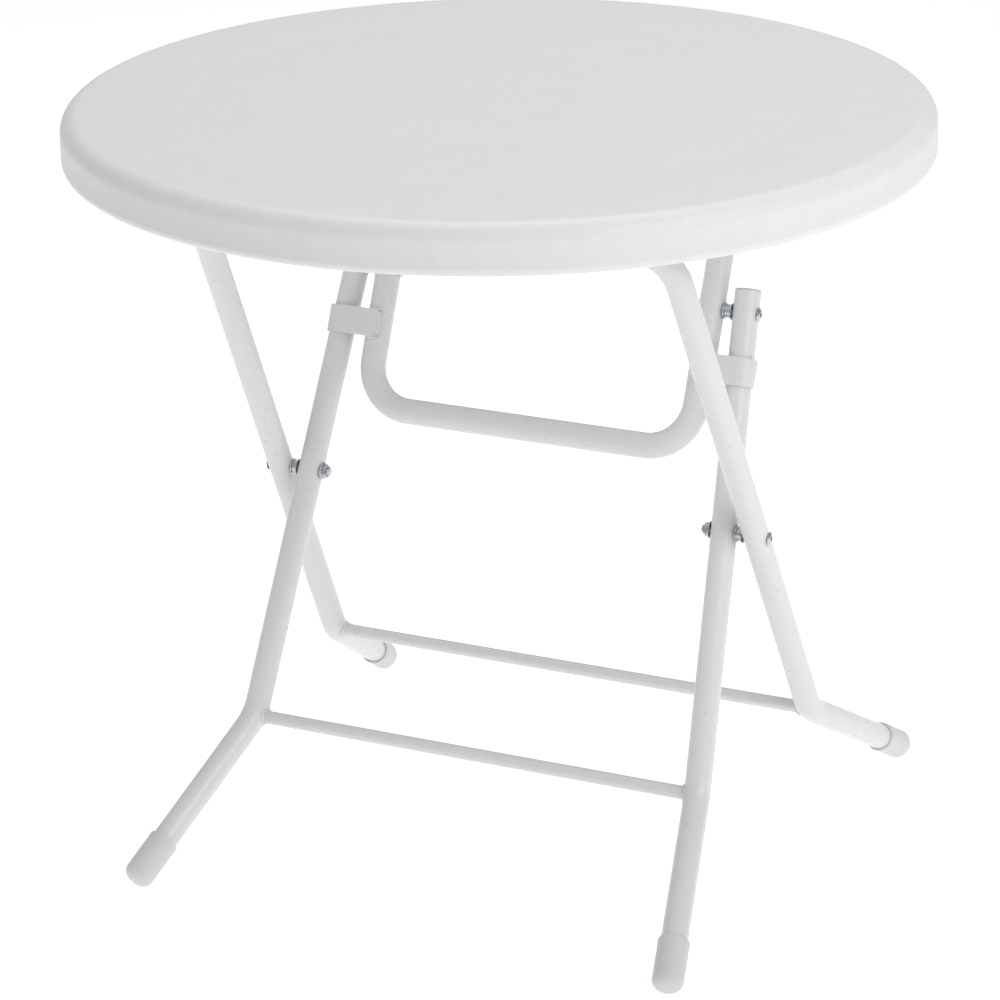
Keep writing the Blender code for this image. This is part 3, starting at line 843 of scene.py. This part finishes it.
class FOLDINGTABLE_OT_lock_bar(bpy.types.Operator):
    """Build the U-shaped lock bar and its two welded lock plates"""

    bl_idname = "folding_table.lock_bar"
    bl_label = "Lock Bar"

    overhang = 0.0070

    def execute(self, context):
        stand = settings().stand
        top = REAR_HINGE + INNER_UP * stand.lock_above_hinge
        low = LINK - INNER_UP * stand.lock_reach
        corners = [side_point(-1, LOCK_X, top), side_point(-1, LOCK_X, low)]
        corners += [side_point(1, LOCK_X, low), side_point(1, LOCK_X, top)]
        bm = bmesh.new()
        sweep(bm, rounded_path(corners, stand.lock_bend), stand.tube, stand.tube - stand.wall)
        fit_piece("lock_bar_tube", bm, "white_powder_coat", "lock_bar", ["lock_bar"])
        for name, side in SIDE_NAMES:
            self.add_plate(name, side)
        return {"FINISHED"}

    def add_plate(self, name, side):
        """Strip with rounded corners, curled round the leg and welded to the arm."""
        stand = settings().stand
        leg = inner_point(side, LINK_REACH - stand.plate_below_link)
        outward = ACROSS * side
        start = LOCK_X - self.overhang
        straight = abs(leg.x) - start
        front_reach = stand.tube + GAP
        side_reach = stand.tube + 5 * GAP
        curl = math.pi / 2 * side_reach
        strip = self.flat_strip(straight, curl, stand.plate_height / 2)
        normals = {}
        for vert in strip.verts:
            along, height, _ = vert.co
            turn = max(along - straight, 0.0) / curl * math.pi / 2
            normal = outward * math.sin(turn) + INNER_FRONT * math.cos(turn)
            if along <= straight:
                place = side_point(side, start + along, leg) + INNER_FRONT * front_reach
            else:
                place = leg + outward * (side_reach * math.sin(turn))
                place += INNER_FRONT * (front_reach * math.cos(turn))
            normals[vert] = normal
            vert.co = place + INNER_UP * height
        sheet = strip.faces[:] + strip.edges[:] + strip.verts[:]
        grown = bmesh.ops.extrude_face_region(strip, geom=sheet)
        for vert in grown["geom"]:
            if isinstance(vert, bmesh.types.BMVert):
                source = min(normals, key=lambda each: (each.co - vert.co).length_squared)
                vert.co = vert.co + normals[source] * stand.plate_thickness
        fit_piece(
            f"hook_plate_{name}", strip, "white_powder_coat", "lock_bar", [f"lock_plate_{name}"],
            bevel=0.0004,
        )
        self.add_welds(name, side, side_point(side, LOCK_X, leg))

    def add_welds(self, name, side, arm):
        """Bead along each edge of a plate where it lies on the arm."""
        stand = settings().stand
        beads = bmesh.new()
        for edge in (-1, 1):
            height = INNER_UP * edge * (stand.plate_height / 2 + 0.0004)
            path = []
            for step in range(25):
                shift = -0.0060 + 0.0150 * step / 24
                rise = math.sqrt(stand.tube ** 2 - shift ** 2) + 0.0004
                path.append(arm + ACROSS * side * shift + INNER_FRONT * rise + height)
            bead(beads, path, 0.0017, False, 5 + edge + side)
        fit_piece(f"plate_weld_{name}", beads, "white_powder_coat", "lock_bar", [])

    def flat_strip(self, straight, curl, half):
        """Return a flat strip with rounded corners, cut across where it will curl."""
        near = 0.0075
        far = 0.0040
        end = straight + curl
        outline = []
        for centre_x, centre_y, radius, start in (
            (end - far, half - far, far, 0),
            (near, half - near, near, 90),
            (near, near - half, near, 180),
            (end - far, far - half, far, 270),
        ):
            outline += arc(Vector((centre_x, centre_y, 0)), ACROSS, BACK, radius, start, start + 90, 8)
        bm = bmesh.new()
        bm.faces.new([bm.verts.new(point) for point in outline])
        for step in range(13):
            cut = ACROSS * (straight + curl * step / 12 - 0.0001)
            sheet = bm.faces[:] + bm.edges[:] + bm.verts[:]
            bmesh.ops.bisect_plane(bm, geom=sheet, plane_co=cut, plane_no=ACROSS)
        return bm


class FOLDINGTABLE_OT_foot_caps(bpy.types.Operator):
    """Build the four moulded caps on the feet"""

    bl_idname = "folding_table.foot_caps"
    bl_label = "Foot Caps"

    def execute(self, context):
        stand = settings().stand
        for name, side in SIDE_NAMES:
            front_bend = inner_point(side, -stand.inner_bend_at)
            rear_bend = outer_point(side, -stand.outer_bend_at)
            self.add_cap(f"front_{name}", side, stand.front_tip, front_bend, "inner_frame")
            self.add_cap(f"rear_{name}", side, stand.rear_tip, rear_bend, "outer_frame")
        return {"FINISHED"}

    def add_cap(self, ending, side, tip, bend, body):
        """Cap with a collar at its mouth, cut flat where it stands on the floor."""
        end = side_point(side, tip[0], Vector(tip))
        bm = bmesh.new()
        turn_profile(bm, self.outline(), end, (end - bend).normalized(), TUBE_SIDES)
        half = 0.05
        corner = Vector((end.x - half, end.y - half, -half))
        along = ACROSS * 2 * half
        back = BACK * 2 * half
        ground = bmesh.new()
        extrude_outline(ground, [corner, corner + along, corner + along + back, corner + back], UP, half)
        fit_piece(
            f"foot_cap_moulded_{ending}", carved(bm, ground), "light_grey_plastic", body,
            [f"foot_cap_{ending}"],
        )

    def outline(self):
        """Return a cap's profile, from the middle of its nose to the bottom of its bore."""
        stand = settings().stand
        bore = stand.tube + GAP / 2
        skirt = stand.cap_radius - 0.0003
        nose = 0.0090
        mouth = -stand.cap_length
        profile = [(0, 0), *profile_arc(skirt - nose, -nose, nose, 90, 0, 12)]
        profile += [(skirt, mouth + 0.0050), (stand.cap_radius, mouth + 0.0042)]
        profile += [(stand.cap_radius, mouth + 0.0008), (stand.cap_radius - 0.0005, mouth + 0.0001)]
        profile += [(bore + 0.0004, mouth), (bore, mouth + 0.0004), (bore, -stand.cap_end + GAP)]
        return profile + [(0, -stand.cap_end + GAP)]


# The fasteners

def thread(radius, start, end):
    """Return the profile of a shank's threaded end, a ridge to each pitch."""
    pitch = 0.00125
    depth = 0.00045
    pairs = []
    at = start
    while at + pitch < end:
        pairs += [(radius, at), (radius, at + pitch * 0.15), (radius - depth, at + pitch * 0.55)]
        at += pitch
    return pairs + [(radius, at), (radius, end - 0.0006), (radius - 0.0007, end), (0, end)]


def button_head(radius, height, socket):
    """Return the profile of a domed head with a round-bottomed socket, from its middle out."""
    sphere = (radius ** 2 + height ** 2) / (2 * height)
    floor = -height * 0.45
    wall = hexagon(socket, socket)
    pairs = [(0, floor - 0.0003), (wall, floor), (wall, 0.0002 - height)]
    start = math.degrees(math.asin(socket * 0.62 / sphere))
    end = math.degrees(math.asin(min(radius / sphere, 1.0)))
    for step in range(9):
        turn = math.radians(start + (end - start) * step / 8)
        pairs.append((sphere * math.sin(turn), sphere - height - sphere * math.cos(turn)))
    return pairs


def fit_bolt(name, under_head, way, shank, head, height, body, node):
    """Button-head bolt: the head lies behind the point and the shank runs ahead of it."""
    radius = settings().fasteners.bolt
    rounded = button_head(head, height, 0.0040)
    rounded[-1] = (head, -0.0004)
    profile = rounded + [(head, -0.0001), (head - 0.0003, 0), (radius, 0)]
    profile += thread(radius, shank - 0.008 if shank > 0.02 else shank - 0.003, shank)
    bm = bmesh.new()
    turn_profile(bm, profile, under_head, way)
    fit_piece(name, bm, "zinc_plated_steel", body, [node])


def fit_nut(name, seat, way, body, node):
    """Flanged hexagon nut with chamfered corners and bore."""
    sizes = settings().fasteners
    bore = sizes.bolt + GAP
    flats = sizes.nut_flats
    corner = flats / math.sqrt(3)
    flange = 0.0016
    profile = [(bore, 0), (sizes.nut_flange - 0.0002, 0), (sizes.nut_flange, 0.0003)]
    profile += [(sizes.nut_flange, 0.0009), (sizes.nut_flange - 0.0003, 0.0012), (corner + 0.0001, flange)]
    sides = hexagon(flats, corner)
    profile += [(sides, flange + 0.0002), (sides, sizes.nut_depth - 0.0009)]
    profile += [(hexagon(flats, corner - 0.0004), sizes.nut_depth - 0.0004)]
    profile += [(hexagon(flats, flats / 2), sizes.nut_depth), (bore + 0.0006, sizes.nut_depth)]
    profile += [(bore, sizes.nut_depth - 0.0006)]
    bm = bmesh.new()
    turn_profile(bm, profile, seat, way, 72)
    fit_piece(name, bm, "zinc_plated_steel", body, [node])


def fit_spacer(name, start, way, long, body, node):
    """Sleeve between two washers, around a bolt."""
    sizes = settings().fasteners
    bore = sizes.bolt + GAP
    sleeve = sizes.spacer * 0.80
    washer = min(0.0014, long * 0.3)
    rim = 0.0002
    profile = [(bore, 0), (sizes.spacer - rim, 0), (sizes.spacer, rim), (sizes.spacer, washer - rim)]
    profile += [(sizes.spacer - rim, washer), (sleeve, washer + 0.0001), (sleeve, long - washer - 0.0001)]
    profile += [(sizes.spacer - rim, long - washer), (sizes.spacer, long - washer + rim)]
    profile += [(sizes.spacer, long - rim), (sizes.spacer - rim, long), (bore, long)]
    bm = bmesh.new()
    turn_profile(bm, profile, start, way)
    fit_piece(name, bm, "zinc_plated_steel", body, [node])


class FOLDINGTABLE_OT_scissor_pivots(bpy.types.Operator):
    """Build the bolts, spacers and nuts where the legs cross"""

    bl_idname = "folding_table.scissor_pivots"
    bl_label = "Scissor Pivots"

    def execute(self, context):
        stand = settings().stand
        sizes = settings().fasteners
        face = stand.tube + GAP
        for name, side in SIDE_NAMES:
            outward = ACROSS * side
            nut_at = inner_point(side, 0) - outward * face
            head_at = outer_point(side, 0) + outward * face
            spacer_at = inner_point(side, 0) + outward * face
            shank = (head_at - nut_at).length + sizes.shank_past_face
            fit_bolt(
                f"pivot_bolt_{name}", head_at, -outward, shank, sizes.low_head, sizes.low_head_height,
                "outer_frame", f"scissor_bolt_{name}",
            )
            gap = stand.outer_x - stand.inner_x - 2 * face
            fit_spacer(
                f"pivot_spacer_{name}", spacer_at, outward, gap, "outer_frame", f"scissor_spacer_{name}",
            )
            fit_nut(f"pivot_nut_{name}", nut_at, -outward, "outer_frame", f"scissor_nut_{name}")
        return {"FINISHED"}


class FOLDINGTABLE_OT_link_pivots(bpy.types.Operator):
    """Build the bolts in the lock bar's arms, and the studs and spacers in the legs"""

    bl_idname = "folding_table.link_pivots"
    bl_label = "Link Pivots"

    def execute(self, context):
        stand = settings().stand
        sizes = settings().fasteners
        face = stand.tube + GAP
        for name, side in SIDE_NAMES:
            outward = ACROSS * side
            arm = side_point(side, LOCK_X, LINK)
            leg = inner_point(side, LINK_REACH)
            fit_bolt(
                f"arm_bolt_{name}", arm - outward * face, outward, 2 * stand.tube + GAP, sizes.head,
                sizes.head_height, "lock_bar", f"link_bolt_{name}",
            )
            start = arm + outward * (stand.tube + 3 * GAP)
            gap = abs(leg.x) - face - abs(start.x)
            fit_spacer(f"arm_spacer_{name}", start, outward, gap, "inner_frame", f"link_spacer_{name}")
            head_at = leg + outward * face
            fit_bolt(
                f"leg_stud_{name}", head_at, -outward, (head_at - start).length, sizes.low_head,
                sizes.low_head_height, "inner_frame", f"link_stud_{name}",
            )
        return {"FINISHED"}


def pan_screw(place):
    """Return a pan-head screw with a cross recess, driven up from its seat."""
    sizes = settings().fasteners
    head = sizes.screw_head
    tall = sizes.screw_head_height
    shank = 0.0020
    profile = [(0, tall), (head * 0.45, tall * 0.99)]
    profile += profile_arc(head - tall * 0.75, tall * 0.22, tall * 0.75, 78, 0, 8)
    profile += [(head, 0), (shank, 0), (shank, -0.013), (0, -0.014)]
    bm = bmesh.new()
    turn_profile(bm, profile, place, -UP)
    wide, thin, deep = 0.0024, 0.0005, 0.0016
    base = place - UP * (tall - deep)
    for turn in (30, 120):
        blade = Matrix.Rotation(math.radians(turn), 3, "Z")
        corners = [Vector((-wide, -thin, 0)), Vector((wide, -thin, 0))]
        corners += [Vector((wide, thin, 0)), Vector((-wide, thin, 0))]
        cutter = bmesh.new()
        extrude_outline(cutter, [base + blade @ each for each in corners], -UP, deep * 1.5)
        bm = carved(bm, cutter)
    return bm


def fit_screws(kind, half_width, middle_y, reach):
    """Two screws for each of two like fittings, up into the underside."""
    seat = UNDERSIDE - settings().fasteners.sheet - GAP
    for name, side in SIDE_NAMES:
        for end_name, end in (("front", -1), ("rear", 1)):
            place = Vector((side * half_width, middle_y + end * reach, seat))
            fit_piece(
                f"{kind}_pan_screw_{name}_{end_name}", pan_screw(place), "zinc_plated_steel", "tabletop",
                [f"{kind}_screw_{name}_{end_name}"],
            )


class FOLDINGTABLE_OT_front_hinge(bpy.types.Operator):
    """Build the saddle clips, pads and screws that hold the top bar"""

    bl_idname = "folding_table.front_hinge"
    bl_label = "Front Hinge"

    def execute(self, context):
        tube = settings().stand.tube
        sizes = settings().fasteners
        bore = tube + GAP
        outer = bore + sizes.sheet
        seat = UNDERSIDE - GAP / 2
        for name, side in SIDE_NAMES:
            middle = side_point(side, CLIP_X, FRONT_HINGE) - ACROSS * (sizes.clip_width / 2)
            upper = middle + UP * (seat - FRONT_HINGE.z)
            lower = upper - UP * sizes.sheet
            strip = [upper - BACK * sizes.clip_flange, upper - BACK * bore]
            strip += arc(middle, BACK, UP, bore, -180, 0, 32)
            strip += [upper + BACK * bore, upper + BACK * sizes.clip_flange]
            strip += [lower + BACK * sizes.clip_flange, lower + BACK * outer]
            strip += arc(middle, BACK, UP, outer, 0, -180, 32)
            strip += [lower - BACK * outer, lower - BACK * sizes.clip_flange]
            bm = bmesh.new()
            extrude_outline(bm, strip, ACROSS, sizes.clip_width)
            fit_piece(
                f"pressed_clip_{name}", bm, "zinc_plated_steel", "tabletop", [f"saddle_clip_{name}"],
                bevel=0.0006,
            )
            half = bore - 2 * GAP
            start = math.degrees(math.acos(half / bore))
            pad = [upper + BACK * half, upper - BACK * half]
            pad += arc(middle, BACK, UP, bore, 180 - start, start, 32)
            bm = bmesh.new()
            extrude_outline(bm, pad, ACROSS, sizes.clip_width)
            fit_piece(
                f"moulded_pad_{name}", bm, "light_grey_plastic", "tabletop", [f"saddle_pad_{name}"],
                bevel=0.0005,
            )
        fit_screws("clip", CLIP_X, FRONT_HINGE.y, sizes.clip_screw_at)
        return {"FINISHED"}


class FOLDINGTABLE_OT_rear_hinge(bpy.types.Operator):
    """Build the brackets, pins, nuts and screws that hold the lock bar"""

    bl_idname = "folding_table.rear_hinge"
    bl_label = "Rear Hinge"

    def execute(self, context):
        sizes = settings().fasteners
        ear_at = settings().stand.tube + sizes.ear_clearance
        half_width = ear_at + sizes.sheet
        face = half_width + GAP / 2
        for name, side in SIDE_NAMES:
            hinge = side_point(side, LOCK_X, REAR_HINGE)
            outward = ACROSS * side
            fit_piece(
                f"pressed_bracket_{name}", self.bracket(hinge, ear_at, half_width), "zinc_plated_steel",
                "tabletop", [f"hinge_bracket_{name}"], bevel=0.0005,
            )
            fit_bolt(
                f"hinge_bolt_{name}", hinge - outward * face, outward, 2 * face + sizes.shank_past_face,
                sizes.head, sizes.head_height, "tabletop", f"hinge_pin_{name}",
            )
            fit_nut(
                f"hinge_hex_nut_{name}", hinge + outward * face, outward, "tabletop", f"hinge_nut_{name}",
            )
        fit_screws("bracket", LOCK_X, REAR_HINGE.y, sizes.bracket_screw_at)
        return {"FINISHED"}

    def bracket(self, hinge, ear_at, half_width):
        """Return a bracket pressed from sheet: a base with round corners and two ears."""
        sizes = settings().fasteners
        seat = UNDERSIDE - GAP / 2
        long = sizes.bracket_length / 2
        corner = 0.006
        outline = []
        for across, along, start in ((1, 1, 0), (-1, 1, 90), (-1, -1, 180), (1, -1, 270)):
            centre = Vector((hinge.x, hinge.y, seat - sizes.sheet))
            centre += ACROSS * (across * (half_width - corner)) + BACK * (along * (long - corner))
            outline += arc(centre, ACROSS, BACK, corner, start, start + 90, 8)
        bm = bmesh.new()
        extrude_outline(bm, outline, UP, sizes.sheet)
        for ear_side in (-1, 1):
            start = hinge + ACROSS * (ear_side * ear_at if ear_side > 0 else -half_width)
            top = UP * (seat - sizes.sheet / 2 - hinge.z)
            half = sizes.ear_width / 2
            ear_outline = arc(start, BACK, UP, half, -180, 0, 24)
            ear_outline += [start + BACK * half + top, start - BACK * half + top]
            ear = bmesh.new()
            extrude_outline(ear, ear_outline, ACROSS, sizes.sheet)
            bm = carved(bm, ear, "UNION")
        return bm


# The stage

def aim(thing, place, target):
    """Place a light and point it at a target."""
    thing.location = place
    thing.rotation_euler = (target - place).to_track_quat("-Z", "Y").to_euler()


class FOLDINGTABLE_OT_stage(bpy.types.Operator):
    """Build the floor, the soft lights, the plain surroundings and the camera"""

    bl_idname = "folding_table.stage"
    bl_label = "Stage"

    def execute(self, context):
        scene = context.scene
        scene.view_settings.view_transform = "Standard"
        scene.view_settings.look = "None"
        self.add_floor(scene)
        self.add_lights(scene)
        self.add_camera(scene)
        return {"FINISHED"}

    def add_floor(self, scene):
        """Add a wide round floor with a little texture of its own."""
        bm = bmesh.new()
        bmesh.ops.create_circle(bm, cap_ends=True, segments=128, radius=30.0)
        mesh = bpy.data.meshes.new("floor")
        bm.to_mesh(mesh)
        bm.free()
        mesh.materials.append(painted_floor())
        floor = bpy.data.objects.new("floor", mesh)
        floor.location.z = -0.0002
        scene.collection.objects.link(floor)

    def add_lights(self, scene):
        """Add large soft boxes and white surroundings."""
        middle = node_centre("tabletop") * 0.75
        for name, place, width, power in (
            ("key_softbox", (2.6, -1.0, 2.4), 2.2, 46),
            ("fill_softbox", (-2.8, -2.2, 1.8), 2.4, 9),
            ("overhead_softbox", (-0.3, 0.8, 3.4), 2.6, 42),
        ):
            data = bpy.data.lights.new(name, "AREA")
            data.size = width
            data.energy = power
            light = bpy.data.objects.new(name, data)
            scene.collection.objects.link(light)
            aim(light, Vector(place), middle)
        world = bpy.data.worlds.new("white_studio")
        scene.world = world
        world.use_nodes = True
        surround = world.node_tree.nodes["Background"]
        surround.inputs["Color"].default_value = (1.0, 1.0, 1.0, 1.0)
        surround.inputs["Strength"].default_value = 0.40

    def add_camera(self, scene):
        """Add a long-lens camera above and to the right of the front."""
        azimuth = math.radians(25.136)
        elevation = math.radians(21.036)
        roll = math.radians(-0.9047)
        target = Vector((-0.0040, -0.0019, 0.3466))
        distance = 3.6269
        back = Vector((
            math.sin(azimuth) * math.cos(elevation), -math.cos(azimuth) * math.cos(elevation),
            math.sin(elevation),
        ))
        right = UP.cross(back).normalized()
        up = back.cross(right)
        camera_x = right * math.cos(roll) + up * math.sin(roll)
        camera_y = up * math.cos(roll) - right * math.sin(roll)
        data = bpy.data.cameras.new("camera")
        data.lens = 137.35
        data.sensor_width = 36.0
        data.clip_end = 100.0
        camera = bpy.data.objects.new("camera", data)
        turn = Matrix((camera_x, camera_y, back)).transposed()
        camera.matrix_world = Matrix.Translation(target + back * distance) @ turn.to_4x4()
        scene.collection.objects.link(camera)
        scene.camera = camera


class FOLDINGTABLE_PT_panel(bpy.types.Panel):
    """List the table's operators, sizes and colours"""

    bl_idname = "FOLDINGTABLE_PT_panel"
    bl_label = "Folding Table"
    bl_space_type = "VIEW_3D"
    bl_region_type = "UI"
    bl_category = "Folding Table"

    def draw(self, context):
        for operator in OPERATORS:
            self.layout.operator(operator.bl_idname)
        table = settings()
        for group in (table.top, table.stand, table.fasteners, table.colours):
            box = self.layout.box()
            for name in group.__annotations__:
                box.prop(group, name)


OPERATORS = (
    FOLDINGTABLE_OT_stage,
    FOLDINGTABLE_OT_top,
    FOLDINGTABLE_OT_outer_frame,
    FOLDINGTABLE_OT_inner_legs,
    FOLDINGTABLE_OT_lock_bar,
    FOLDINGTABLE_OT_scissor_pivots,
    FOLDINGTABLE_OT_link_pivots,
    FOLDINGTABLE_OT_front_hinge,
    FOLDINGTABLE_OT_rear_hinge,
    FOLDINGTABLE_OT_foot_caps,
)
CLASSES = (
    FoldingTableTopSizes,
    FoldingTableStandSizes,
    FoldingTableFastenerSizes,
    FoldingTableColours,
    FoldingTableSettings,
    *OPERATORS,
    FOLDINGTABLE_PT_panel,
)


def register():
    """Register the classes and the scene's settings."""
    for each in CLASSES:
        bpy.utils.register_class(each)
    bpy.types.Scene.folding_table = PointerProperty(
        type=FoldingTableSettings, name="Folding table",
        description="Sizes and colours of the folding table",
    )


def unregister():
    """Remove the scene's settings and the classes."""
    del bpy.types.Scene.folding_table
    for each in reversed(CLASSES):
        bpy.utils.unregister_class(each)


def main():
    """Build the table."""
    register()
    for operator in OPERATORS:
        group, name = operator.bl_idname.split(".")
        getattr(getattr(bpy.ops, group), name)()


if __name__ == "__main__":
    main()
